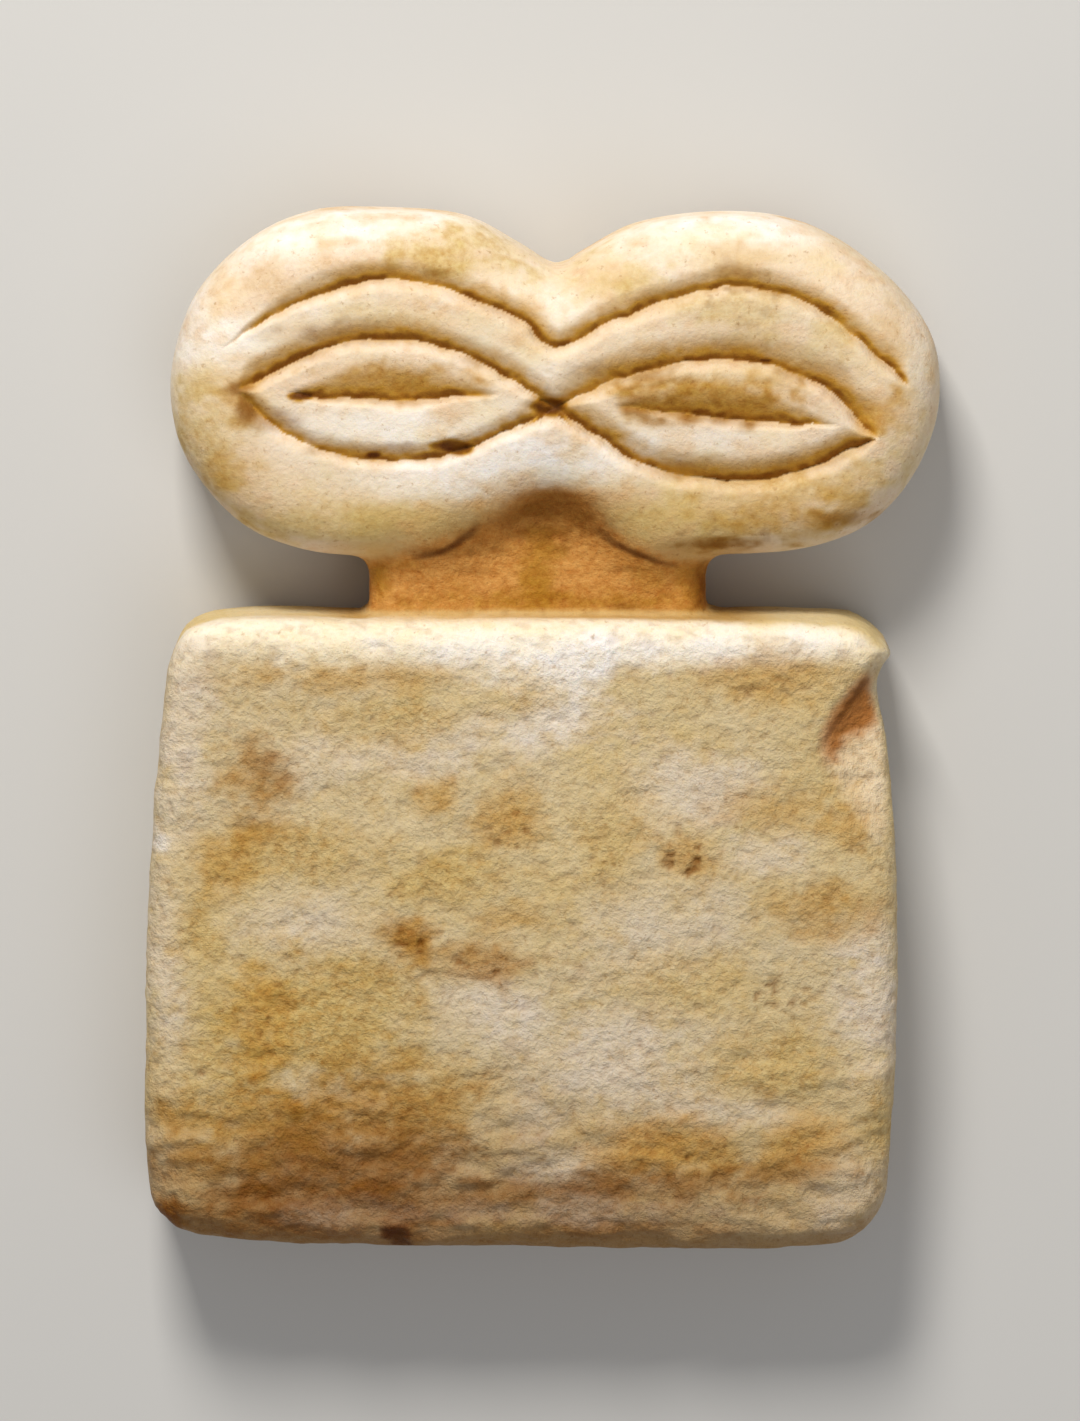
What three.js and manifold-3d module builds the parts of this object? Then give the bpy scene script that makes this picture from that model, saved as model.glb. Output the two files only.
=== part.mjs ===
// A stone eye idol, carved as one piece: a squared body slab, a short neck set back from
// it, and a head of two joined eye lobes with brows, lids and slit pupils cut into its
// front. It lies on its flat back: +X runs across it, +Y from its base to its head, and
// +Z out of its front. All sizes are millimetres.
import * as THREE from "three";
import { ConvexGeometry } from "three/addons/geometries/ConvexGeometry.js";
import { mergeVertices } from "three/addons/utils/BufferGeometryUtils.js";
import Module from "manifold-3d";

const wasm = await Module();
wasm.setup();

// The body slab. Its front bulges by `crown` over an oval of half-axes `crownReach`.
const BODY = {
  centre: [-1.2, -11.7],
  back: 0,
  front: 9.2,
  backEdge: 1.3,
  frontEdge: 1.8,
  baseEdge: 2.4,
  crown: 0.5,
  crownReach: [22, 19],
  stations: 80,
  outline: [
    [17.0, 6.5],
    [10.3, 6.6],
    [0.0, 6.7],
    [-10.7, 6.6],
    [-17.8, 6.6],
    [-20.4, 5.9],
    [-21.4, 4.3],
    [-21.9, 1.0],
    [-22.6, -7.2],
    [-22.9, -15.4],
    [-23.0, -24.8],
    [-22.6, -27.6],
    [-21.0, -29.1],
    [-16.7, -29.7],
    [-9.8, -30.0],
    [0.7, -30.1],
    [14.2, -30.1],
    [17.9, -29.5],
    [19.6, -27.6],
    [20.0, -24.8],
    [20.4, -17.8],
    [20.4, -10.7],
    [20.1, -4.5],
    [19.7, -0.2],
    [19.3, 1.6],
    [19.3, 3.0],
    [19.9, 4.6],
    [18.9, 5.8],
  ],
};

// The head: two eye lobes joined at a waist, with a soft front edge like a cushion's.
const HEAD = {
  centre: [0.8, 20.3],
  back: 0.5,
  front: 9.1,
  backEdge: 1.8,
  frontEdge: 4.0,
  baseEdge: 3.2,
  crown: 0.35,
  crownReach: [19, 8],
  stations: 96,
  outline: [
    [0.8, 26.7],
    [-1.4, 27.9],
    [-4.5, 29.5],
    [-8.2, 29.9],
    [-13.1, 29.8],
    [-16.6, 28.3],
    [-20.1, 24.8],
    [-21.4, 20.6],
    [-21.1, 17.1],
    [-19.2, 13.7],
    [-16.3, 11.3],
    [-11.5, 10.1],
    [-7.2, 10.6],
    [-3.6, 12.3],
    [0.7, 14.1],
    [3.9, 12.2],
    [6.8, 10.3],
    [11.1, 10.2],
    [16.3, 10.8],
    [19.4, 12.5],
    [21.9, 15.9],
    [22.8, 19.8],
    [22.3, 22.7],
    [20.5, 25.3],
    [17.0, 28.1],
    [13.6, 29.4],
    [9.0, 29.6],
    [5.0, 28.9],
    [2.4, 27.5],
  ],
};

// The neck: a rounded block between them, thinner than both, flared where it meets them.
const NECK = {
  middle: -0.35,
  halfWidth: 9.75,
  back: 1.0,
  front: 6.3,
  rows: [3.5, 6.6, 6.75, 7.0, 7.6, 8.4, 9.2, 9.8, 10.05, 10.2, 17],
  shoulderLine: 6.6,
  chinLine: 10.2,
  flare: 0.9,
  squareness: 4,
  stations: 36,
};

// The cuts of the eyes. Each runs from left to right with its deepest point under `line`.
// The wall above it is `wide` mm across and the wall below it `steep` mm, as a blade
// held aslant leaves them. `ends` is the share of its length over which each end fades.
const CUTS = {
  brow: {
    wide: 0.95,
    steep: 0.35,
    depth: 0.85,
    ends: [0.16, 0.06],
    stations: 40,
    line: [
      [-18.4, 22.1],
      [-15.1, 24.3],
      [-12.0, 25.7],
      [-8.5, 26.2],
      [-4.5, 25.3],
      [-1.3, 23.8],
      [0.8, 22.4],
      [3.6, 23.8],
      [7.4, 25.1],
      [11.2, 25.9],
      [15.1, 24.8],
      [18.0, 22.7],
      [21.0, 20.1],
    ],
  },
  leftLid: {
    wide: 0.95,
    steep: 0.35,
    depth: 0.95,
    ends: [0.1, 0],
    stations: 20,
    line: [
      [-17.5, 19.9],
      [-14.1, 21.6],
      [-10.5, 22.8],
      [-7.5, 22.8],
      [-4.6, 21.9],
      [-1.6, 20.4],
      [0.8, 18.5],
    ],
  },
  leftUnder: {
    wide: 0.75,
    steep: 0.35,
    depth: 0.9,
    ends: [0.1, 0],
    stations: 20,
    line: [
      [-17.5, 19.8],
      [-14.7, 17.3],
      [-10.8, 16.1],
      [-7.5, 16.0],
      [-4.9, 16.4],
      [-1.6, 17.8],
      [0.8, 19.1],
    ],
  },
  leftPupil: {
    wide: 2.3,
    steep: 0.3,
    depth: 0.9,
    ends: [0.5, 0.5],
    stations: 16,
    line: [
      [-14.8, 19.8],
      [-12.0, 19.45],
      [-8.3, 19.35],
      [-4.6, 19.5],
      [-2.4, 19.8],
    ],
  },
  rightLid: {
    wide: 1.25,
    steep: 0.35,
    depth: 0.95,
    ends: [0, 0.1],
    stations: 20,
    line: [
      [0.0, 18.4],
      [2.6, 19.8],
      [5.2, 20.9],
      [8.2, 21.5],
      [11.4, 21.6],
      [15.4, 20.5],
      [17.2, 18.9],
      [19.1, 17.1],
    ],
  },
  rightUnder: {
    wide: 1.15,
    steep: 0.35,
    depth: 0.95,
    ends: [0, 0.1],
    stations: 20,
    line: [
      [0.0, 19.2],
      [2.9, 17.4],
      [5.9, 15.6],
      [9.0, 14.85],
      [12.1, 14.75],
      [15.1, 15.4],
      [19.1, 17.1],
    ],
  },
  rightPupil: {
    wide: 2.0,
    steep: 0.3,
    depth: 0.85,
    ends: [0.5, 0.5],
    stations: 16,
    line: [
      [3.9, 19.0],
      [7.4, 18.6],
      [11.1, 18.1],
      [17.0, 17.9],
    ],
  },
};
const CUT_RISE = 0.6; // how far a cutter stands out of the front it cuts
const CUT_LEAST = 0.05; // the share of its size that a faded end keeps

// The flake broken off the right shoulder: a wall falls from the ridge between `inner`
// and `tip` to the line from `heel` to `foot`, and a floor rises again from there to the
// line from `inner` to `low`.
const FLAKE = {
  inner: [15.4, -0.8, 9.3],
  tip: [19.9, 4.9, 8.8],
  heel: [17.2, -1.2, 8.0],
  foot: [19.9, 2.2, 6.6],
  low: [19.7, -7.4, 8.8],
  reach: 1.5,
  rise: 4,
};

const RIGHT_ANGLE = Math.PI / 2;
const BACK_EDGE_RINGS = 3;
const FRONT_EDGE_RINGS = 5;
const INNER_RINGS = [0.72, 0.4];
const RING_SMOOTHING = 0.25;

// Closes a stack of equal rings into one skin, with a fan at each end. Each ring runs
// anticlockwise as seen from the end of the stack.
function skin(rings) {
  const count = rings[0].length;
  const points = rings.flat();
  const faces = [];
  rings.slice(1).forEach((_, k) => {
    for (let i = 0; i < count; i++) {
      const a = k * count + i;
      const b = k * count + ((i + 1) % count);
      faces.push(a, b, b + count, a, b + count, a + count);
    }
  });
  const last = (rings.length - 1) * count;
  const start = points.push(middleOf(rings[0])) - 1;
  const end = points.push(middleOf(rings[rings.length - 1])) - 1;
  for (let i = 0; i < count; i++) {
    const next = (i + 1) % count;
    faces.push(start, next, i, end, last + i, last + next);
  }
  return new THREE.BufferGeometry().setFromPoints(points).setIndex(faces);
}

function middleOf(ring) {
  const sum = ring.reduce((total, p) => total.add(p), new THREE.Vector3());
  return sum.divideScalar(ring.length);
}

// A smooth closed curve through an outline's points, as evenly spaced stations.
function ringThrough(outline, stations) {
  const points = outline.map(([x, y]) => new THREE.Vector3(x, y, 0));
  const curve = new THREE.CatmullRomCurve3(points, true);
  curve.arcLengthDivisions = 20 * stations;
  return curve.getSpacedPoints(stations).slice(0, stations);
}

// Moves a ring inwards, smoothing it a little so that it never folds at a corner.
function insetBy(ring, distances) {
  const count = ring.length;
  return ring.map((p, i) => {
    const before = ring[(i + count - 1) % count];
    const after = ring[(i + 1) % count];
    const along = after.clone().sub(before).normalize();
    const inward = new THREE.Vector3(-along.y, along.x, 0);
    const smoothed = before.clone().add(after).multiplyScalar(0.5);
    const share = distances[i] > 0 ? RING_SMOOTHING : 0;
    return p.clone().lerp(smoothed, share).addScaledVector(inward, distances[i]);
  });
}

// How far a slab's front stands above its edge height at a place, for its shallow bulge.
function crownAt(shape, x, y) {
  const u = (x - shape.centre[0]) / shape.crownReach[0];
  const v = (y - shape.centre[1]) / shape.crownReach[1];
  return shape.crown * Math.max(0, 1 - u * u - v * v);
}

// The radius of a slab's front edge, which is another at its base than at its top.
function frontEdgeAt(shape, y) {
  const base = Math.min(...shape.outline.map((p) => p[1]));
  const share = THREE.MathUtils.smoothstep(y, base, shape.centre[1]);
  return THREE.MathUtils.lerp(shape.baseEdge, shape.frontEdge, share);
}

// A slab with rounded edges and a flat back, as rings from its back to its front.
function slab(shape) {
  const rim = ringThrough(shape.outline, shape.stations);
  const rings = [rim.map((p) => p.clone().setZ(shape.back + shape.backEdge))];
  for (let k = 1; k <= BACK_EDGE_RINGS; k++) {
    const was = RIGHT_ANGLE * ((k - 1) / BACK_EDGE_RINGS);
    const now = RIGHT_ANGLE * (k / BACK_EDGE_RINGS);
    const step = shape.backEdge * (Math.cos(was) - Math.cos(now));
    const z = shape.back + shape.backEdge * (1 - Math.sin(now));
    rings.unshift(insetBy(rings[0], rim.map(() => step)).map((p) => p.setZ(z)));
  }

  const radii = rim.map((p) => frontEdgeAt(shape, p.y));
  let ring = rim;
  for (let k = 0; k <= FRONT_EDGE_RINGS; k++) {
    const was = RIGHT_ANGLE * (Math.max(0, k - 1) / FRONT_EDGE_RINGS);
    const now = RIGHT_ANGLE * (k / FRONT_EDGE_RINGS);
    const steps = radii.map((r) => r * (Math.cos(was) - Math.cos(now)));
    ring = insetBy(ring, steps).map((p, i) => {
      const z = shape.front - radii[i] * (1 - Math.sin(now));
      return p.setZ(z + crownAt(shape, p.x, p.y));
    });
    rings.push(ring);
  }

  const [cx, cy] = shape.centre;
  for (const share of INNER_RINGS) {
    rings.push(
      ring.map((p) => {
        const x = cx + share * (p.x - cx);
        const y = cy + share * (p.y - cy);
        return new THREE.Vector3(x, y, shape.front + crownAt(shape, x, y));
      }),
    );
  }
  return skin(rings);
}

// How much wider the neck is at a distance from a line that it meets in a round corner.
function flareAt(distance) {
  const t = THREE.MathUtils.clamp(1 - distance / NECK.flare, 0, 1);
  return NECK.flare * (1 - Math.sqrt(1 - t * t));
}

// The neck as rounded oblong sections from the body up into the head.
function neck() {
  const middle = (NECK.front + NECK.back) / 2;
  const depth = (NECK.front - NECK.back) / 2;
  const rings = [];
  for (const y of NECK.rows) {
    const flared = flareAt(y - NECK.shoulderLine) + flareAt(NECK.chinLine - y);
    const width = NECK.halfWidth + Math.min(flared, NECK.flare);
    const ring = [];
    for (let i = 0; i < NECK.stations; i++) {
      const turn = (2 * Math.PI * i) / NECK.stations;
      const x = NECK.middle + width * rounded(Math.sin(turn));
      ring.push(new THREE.Vector3(x, y, middle + depth * rounded(Math.cos(turn))));
    }
    rings.push(ring);
  }
  return skin(rings);
}

// Squares a circle's sine or cosine up into a superellipse's.
function rounded(value) {
  return Math.sign(value) * Math.abs(value) ** (2 / NECK.squareness);
}

// The height of the head's front at a place, its rounded edge included.
function headFrontAt(x, y, rim) {
  const inset = Math.min(...rim.map((p) => Math.hypot(p.x - x, p.y - y)));
  const edge = frontEdgeAt(HEAD, y);
  const t = THREE.MathUtils.clamp(1 - inset / edge, 0, 1);
  return HEAD.front - edge * (1 - Math.sqrt(1 - t * t)) + crownAt(HEAD, x, y);
}

// How much of a cut's width and depth is left at a share of its length.
function fadeAt(cut, t) {
  const [first, last] = cut.ends;
  const opening = first > 0 ? Math.min(1, t / first) : 1;
  const closing = last > 0 ? Math.min(1, (1 - t) / last) : 1;
  const share = Math.sin(RIGHT_ANGLE * opening) * Math.sin(RIGHT_ANGLE * closing);
  return Math.max(share, CUT_LEAST);
}

// One cut of an eye: a lopsided V swept along its line, its mouth following the front.
function cutter(cut, rim) {
  const points = cut.line.map(([x, y]) => new THREE.Vector3(x, y, 0));
  const curve = new THREE.CatmullRomCurve3(points);
  const rings = [];
  for (let k = 0; k <= cut.stations; k++) {
    const t = k / cut.stations;
    const at = curve.getPointAt(t);
    const along = curve.getTangentAt(t);
    const above = new THREE.Vector3(-along.y, along.x, 0);
    const fade = fadeAt(cut, t);
    const section = [
      [0, -cut.depth * fade],
      [cut.wide * fade, 0],
      [cut.wide * fade, CUT_RISE],
      [-cut.steep * fade, CUT_RISE],
      [-cut.steep * fade, 0],
    ];
    rings.push(
      section.map(([across, rise]) => {
        const point = at.clone().addScaledVector(above, across);
        return point.setZ(headFrontAt(point.x, point.y, rim) + rise);
      }),
    );
  }
  return skin(rings);
}

// The flake as a wedge that runs out of the stone's front and side.
function flake() {
  const inner = new THREE.Vector3(...FLAKE.inner);
  const heel = new THREE.Vector3(...FLAKE.heel);
  const beyond = (from, corner) =>
    from.clone().lerp(new THREE.Vector3(...corner), FLAKE.reach);
  const tip = beyond(inner, FLAKE.tip);
  const foot = beyond(heel, FLAKE.foot);
  const low = beyond(inner, FLAKE.low);
  const raised = [inner, tip, low].map((p) => p.clone().setZ(p.z + FLAKE.rise));
  return new ConvexGeometry([inner, heel, tip, foot, low, ...raised]);
}

function toSolid(geometry) {
  const bare = geometry.clone();
  bare.deleteAttribute("normal");
  bare.deleteAttribute("uv");
  const merged = mergeVertices(bare, 1e-4);
  return new wasm.Manifold(
    new wasm.Mesh({
      numProp: 3,
      vertProperties: new Float32Array(merged.attributes.position.array),
      triVerts: new Uint32Array(merged.index.array),
    }),
  );
}

function toGeometry(solid) {
  const mesh = solid.getMesh();
  const geometry = new THREE.BufferGeometry();
  geometry.setAttribute("position", new THREE.BufferAttribute(mesh.vertProperties, 3));
  geometry.setIndex(new THREE.BufferAttribute(mesh.triVerts, 1));
  return geometry;
}

// Puts the idol's middle over the origin and its back on the plane z = 0.
function centred(geometry) {
  geometry.computeBoundingBox();
  const { min, max } = geometry.boundingBox;
  geometry.translate(-(min.x + max.x) / 2, -(min.y + max.y) / 2, -min.z);
  geometry.computeVertexNormals();
  return geometry;
}

function eyeIdol() {
  const rim = ringThrough(HEAD.outline, HEAD.stations);
  let stone = toSolid(slab(BODY)).add(toSolid(neck())).add(toSolid(slab(HEAD)));
  for (const cut of Object.values(CUTS)) {
    stone = stone.subtract(toSolid(cutter(cut, rim)));
  }
  stone = stone.subtract(toSolid(flake()));
  return centred(toGeometry(stone));
}

const alabaster = new THREE.MeshStandardMaterial({
  color: 0xd9c49a,
  roughness: 0.55,
  metalness: 0,
});

const idol = new THREE.Mesh(eyeIdol(), alabaster);
idol.name = "eye_idol";

const part = new THREE.Group();
part.add(idol);

export default part;
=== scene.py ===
import math

import bmesh
import bpy
import numpy as np
from mathutils import Matrix, Vector


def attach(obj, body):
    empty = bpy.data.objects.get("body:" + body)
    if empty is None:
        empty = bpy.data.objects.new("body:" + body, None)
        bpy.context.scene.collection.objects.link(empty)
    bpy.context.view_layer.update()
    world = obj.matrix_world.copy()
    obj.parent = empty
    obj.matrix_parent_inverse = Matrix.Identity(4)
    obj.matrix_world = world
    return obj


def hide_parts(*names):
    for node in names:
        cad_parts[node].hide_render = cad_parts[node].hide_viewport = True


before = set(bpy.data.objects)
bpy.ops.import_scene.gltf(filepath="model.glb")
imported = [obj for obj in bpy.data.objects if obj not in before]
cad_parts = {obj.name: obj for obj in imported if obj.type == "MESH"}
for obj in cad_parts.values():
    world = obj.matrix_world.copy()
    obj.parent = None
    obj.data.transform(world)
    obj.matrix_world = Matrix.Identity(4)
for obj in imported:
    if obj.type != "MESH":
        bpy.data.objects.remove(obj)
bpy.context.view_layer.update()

# The idol is worked out in millimetres, with X across it, Y towards its head and Z out of
# its front, and is moved onto the CAD solid at the end.
MM = 0.001
CELL = 0.87  # the first mesh's pitch
HALVINGS = 3  # how often the mesh is made finer, each time over a smaller region
NET_LOW = (-25.0, -32.0, -1.5)  # the corners of the box that the mesh is sought in
NET_HIGH = (25.0, 32.0, 12.0)
NUDGE = 0.03  # the step over which the field's slope is taken

# The body slab, as in the solid model.
BODY = {
    "centre": (-1.2, -11.7),
    "back": 0.0,
    "front": 9.15,
    "back_edge": 1.3,
    "front_edge": 1.8,
    "base_edge": 2.6,
    "waist_edge": 2.6,
    "crown": 0.5,
    "crown_reach": (22.0, 19.0),
    "outline": [
        (17.0, 6.5),
        (10.3, 6.6),
        (0.0, 6.7),
        (-10.7, 6.6),
        (-17.8, 6.6),
        (-20.4, 5.9),
        (-21.4, 4.3),
        (-21.9, 1.0),
        (-22.6, -7.2),
        (-22.9, -15.4),
        (-23.0, -24.8),
        (-22.6, -27.6),
        (-21.0, -29.1),
        (-16.7, -29.7),
        (-9.8, -30.0),
        (0.7, -30.1),
        (14.2, -30.1),
        (17.9, -29.5),
        (19.6, -27.6),
        (20.0, -24.8),
        (20.4, -17.8),
        (20.4, -10.7),
        (20.1, -4.5),
        (19.7, -0.2),
        (19.3, 1.6),
        (19.2, 2.9),
        (19.5, 3.8),
        (20.0, 4.5),
        (19.1, 5.6),
        (18.2, 6.2),
    ],
}

# The head: two eye lobes joined at a waist.
HEAD = {
    "centre": (0.8, 20.3),
    "back": 0.5,
    "front": 9.05,
    "back_edge": 1.8,
    "front_edge": 4.2,
    "base_edge": 3.6,
    "waist_edge": 1.8,
    "crown": 0.45,
    "crown_reach": (19.0, 8.0),
    "outline": [
        (0.8, 26.7),
        (-1.4, 27.9),
        (-4.5, 29.5),
        (-8.2, 29.9),
        (-13.1, 29.8),
        (-16.6, 28.3),
        (-20.1, 24.8),
        (-21.4, 20.6),
        (-21.1, 17.1),
        (-19.2, 13.7),
        (-16.3, 11.3),
        (-11.5, 10.1),
        (-7.2, 10.6),
        (-3.6, 12.3),
        (0.7, 14.1),
        (3.9, 12.2),
        (6.8, 10.3),
        (11.1, 10.2),
        (16.3, 10.8),
        (19.4, 12.5),
        (21.9, 15.9),
        (22.8, 19.8),
        (22.3, 22.7),
        (20.5, 25.3),
        (17.0, 28.1),
        (13.6, 29.4),
        (9.0, 29.6),
        (5.0, 28.9),
        (2.4, 27.5),
    ],
}

WAIST_WIDTH = 5.0  # how far from the middle the waist's edge gives way to the base edge
EDGE_POWER = 2.3  # a little squarer than a round edge, with no line where it begins

NECK = {
    "middle": -0.35,
    "half_width": 9.7,
    "back": 1.0,
    "front": 6.3,
    "edge": 1.4,
    "from": 3.5,
    "to": 17.0,
}
SHOULDER_FILLET = 0.9
NOTCH_FILLET = 1.4  # where the neck's sides meet the head
CHIN_FILLET = 3.6  # where the neck's front meets the head
CHIN_REACH = (9.7, 6.0)  # from the neck's middle to where the one fillet becomes the other

# The cuts of the eyes, from left to right along their deepest lines. The wall above a
# line is `wide` across and the wall below it `steep`; `ends` is the share of the length
# over which each end fades, and `dirt_and_shade` how brown the cut is: its grime, and
# the painted shade on its upper wall, which faces away from the light.
CUTS = {
    "brow": {
        "wide": 1.35,
        "steep": 0.62,
        "depth": 0.7,
        "ends": (0.2, 0.05),
        "dirt_and_shade": 0.75,
        "line": [
            (-18.4, 22.1),
            (-15.1, 24.3),
            (-12.0, 25.7),
            (-8.5, 26.2),
            (-4.5, 25.3),
            (-1.3, 23.8),
            (0.8, 22.4),
            (3.6, 23.8),
            (7.4, 25.1),
            (11.2, 25.9),
            (15.1, 24.8),
            (18.0, 22.7),
            (21.0, 20.1),
        ],
    },
    "left_lid": {
        "wide": 1.45,
        "steep": 0.62,
        "depth": 0.75,
        "ends": (0.08, 0.0),
        "dirt_and_shade": 0.9,
        "line": [
            (-17.5, 19.9),
            (-14.1, 21.6),
            (-10.5, 22.8),
            (-7.5, 22.8),
            (-4.6, 21.9),
            (-1.6, 20.4),
            (0.8, 18.5),
        ],
    },
    "left_under": {
        "wide": 1.1,
        "steep": 0.55,
        "depth": 0.6,
        "ends": (0.08, 0.0),
        "dirt_and_shade": 0.8,
        "line": [
            (-17.5, 19.8),
            (-14.7, 17.3),
            (-10.8, 16.1),
            (-7.5, 16.0),
            (-4.9, 16.4),
            (-1.6, 17.8),
            (0.8, 19.1),
        ],
    },
    "left_pupil": {
        "wide": 2.45,
        "steep": 0.5,
        "depth": 0.95,
        "ends": (0.5, 0.5),
        "dirt_and_shade": 0.85,
        "line": [
            (-14.8, 19.8),
            (-12.0, 19.45),
            (-8.3, 19.35),
            (-4.6, 19.5),
            (-2.4, 19.8),
        ],
    },
    "right_lid": {
        "wide": 1.9,
        "steep": 0.62,
        "depth": 0.85,
        "ends": (0.0, 0.08),
        "dirt_and_shade": 0.8,
        "line": [
            (0.0, 18.4),
            (2.6, 19.8),
            (5.2, 20.9),
            (8.2, 21.5),
            (11.4, 21.6),
            (15.4, 20.5),
            (17.2, 18.9),
            (19.1, 17.1),
        ],
    },
    "right_under": {
        "wide": 1.6,
        "steep": 0.62,
        "depth": 0.9,
        "ends": (0.0, 0.08),
        "dirt_and_shade": 0.85,
        "line": [
            (0.0, 19.2),
            (2.9, 17.4),
            (5.9, 15.6),
            (9.0, 14.85),
            (12.1, 14.75),
            (15.1, 15.4),
            (19.1, 17.1),
        ],
    },
    "right_pupil": {
        "wide": 2.2,
        "steep": 0.5,
        "depth": 0.9,
        "ends": (0.5, 0.5),
        "dirt_and_shade": 0.9,
        "line": [
            (3.9, 19.0),
            (7.4, 18.6),
            (11.1, 18.1),
            (17.0, 17.9),
        ],
    },
}
# How far below and above a cut the finest mesh reaches.
FINE_BELOW = 0.5
FINE_ABOVE = 0.1

# The slot at the bottom of a cut, and how a cut's upper and lower walls curve.
SLOT_DEPTH = 0.04
SLOT_REACH = 0.3
UPPER_CURVE = 1.7
LOWER_CURVE = 1.5

# The flake broken off the right shoulder: its wall, its floor and the floor's edge.
FLAKE = {
    "inner": (15.0, -0.4, 9.4),
    "tip": (19.8, 4.9, 8.6),
    "heel": (16.3, -0.4, 8.2),
    "foot": (20.0, 3.3, 6.9),
    "low": (19.7, -7.4, 8.8),
}
FLAKE_ROUNDING = 1.4  # between its wall, floor and edge
FLAKE_LIP = 0.7  # where it meets the front

# Deep pits at the bottom of the cuts and nicks in the edges: place, half-axes, depth.
PITS = [
    ((0.35, 18.95), (1.1, 0.65), 0.25),
    ((-5.3, 16.7), (1.6, 0.55), 0.15),
    ((-9.7, 16.15), (0.85, 0.4), 0.08),
    ((-13.6, 19.6), (0.95, 0.3), 0.08),
    ((12.6, 21.6), (0.6, 0.2), 0.05),
]
NICKS = [
    ((-9.1, -29.2, 9.1), 0.55),
    ((-8.5, -29.3, 8.9), 0.6),
    ((-8.2, -29.9, 8.0), 0.5),
    ((-22.1, -28.5, 6.8), 0.8),
]

# Clusters of small pits on the front: place, half-width, half-height and strength.
PITTED = [
    (-16.0, -17.0, 1.2, 1.0, 0.6),
    (-1.9, -5.4, 1.6, 1.4, 0.8),
    (8.4, -6.9, 1.8, 1.4, 1.0),
    (-7.4, -11.9, 2.6, 0.9, 1.0),
    (-3.4, -13.2, 2.2, 0.8, 0.9),
    (-19.8, -19.2, 1.0, 1.0, 0.6),
    (2.5, -8.6, 1.4, 1.0, 0.6),
    (13.4, -14.9, 2.6, 1.0, 0.8),
    (-9.4, -23.4, 9.0, 3.4, 0.6),
    (7.6, -24.4, 5.6, 1.8, 0.6),
    (13.1, 2.6, 3.0, 1.0, 0.5),
    (11.0, 12.0, 4.6, 1.0, 0.5),
    (10.6, 24.6, 3.0, 2.0, 0.4),
]

SCATTERED_PITS = 0.25  # the strength of the small pits outside the clusters
SPOT_DEPTH = 0.22
HOLLOW_DEPTH = 0.1

# Unevenness of the whole surface, from coarse to fine: its height on the head, what the
# body has more, the size of a blob on each axis, and the number that seeds it.
WAVES = [
    (0.05, 0.0, (7.0, 6.0, 6.0), 11),
    (0.035, 0.03, (3.0, 2.2, 2.5), 12),
    (0.01, 0.026, (1.3, 0.9, 1.1), 13),
    (0.005, 0.04, (0.6, 0.55, 0.6), 14),
]

# Rougher tool marks along the base: height, size and seed.
TOOL_MARKS = [
    (0.2, (2.6, 1.0, 2.0), 15),
    (0.14, (1.2, 0.6, 1.0), 16),
]

# The whole numbers that turn a grid cell and a seed into a random-looking value.
NOISE_CELL = np.array((374761393, 668265263, 974634777))
NOISE_SEED = 1013904223
NOISE_STIR = 1274126177
NOISE_LIMIT = 0xFFFFFFFF
NOISE_HALF = 0x7FFFFFFF
NOISE_SHIFT = 17.31  # how far one seed's grid lies from the next one's

# Turns places about, so that the mottling of the sides and back doesn't line up with them.
ASKEW = np.array(((0.79, 0.61, 0.31), (-0.61, 0.79, 0.22), (0.28, -0.35, 0.9)))


def linear(red, green, blue):
    """A colour given as 0 to 255 for a screen, as the renderer's linear values."""
    values = np.array((red, green, blue)) / 255.0
    return np.where(values <= 0.04045, values / 12.92, ((values + 0.055) / 1.055) ** 2.4)


WHITE = linear(249, 242, 233)
IVORY = linear(251, 238, 212)
CREAM = linear(241, 229, 208)
SHELL = linear(236, 212, 176)
BEIGE = linear(211, 190, 149)
GREY = linear(222, 206, 184)
HONEY = linear(212, 184, 116)
OCHRE = linear(200, 152, 58)
ORANGE = linear(178, 127, 32)
BROWN = linear(134, 84, 16)
RUST = linear(174, 102, 14)
ASH = linear(180, 162, 140)
NECK_BROWN = linear(212, 155, 82)
UMBER = linear(96, 50, 6)

# What the layers of the material's mottling, and its painted shade in the grain's hollows,
# multiply the tint by.
YELLOWED = (0.94, 0.86, 0.60)
BLEACHED = (1.0, 1.03, 1.12)
GRAINED = (0.86, 0.73, 0.48)
SPECKLED = (0.74, 0.56, 0.34)
FLECKED = (0.55, 0.38, 0.22)
HOLLOW_SHADE = (0.74, 0.60, 0.44)
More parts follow.
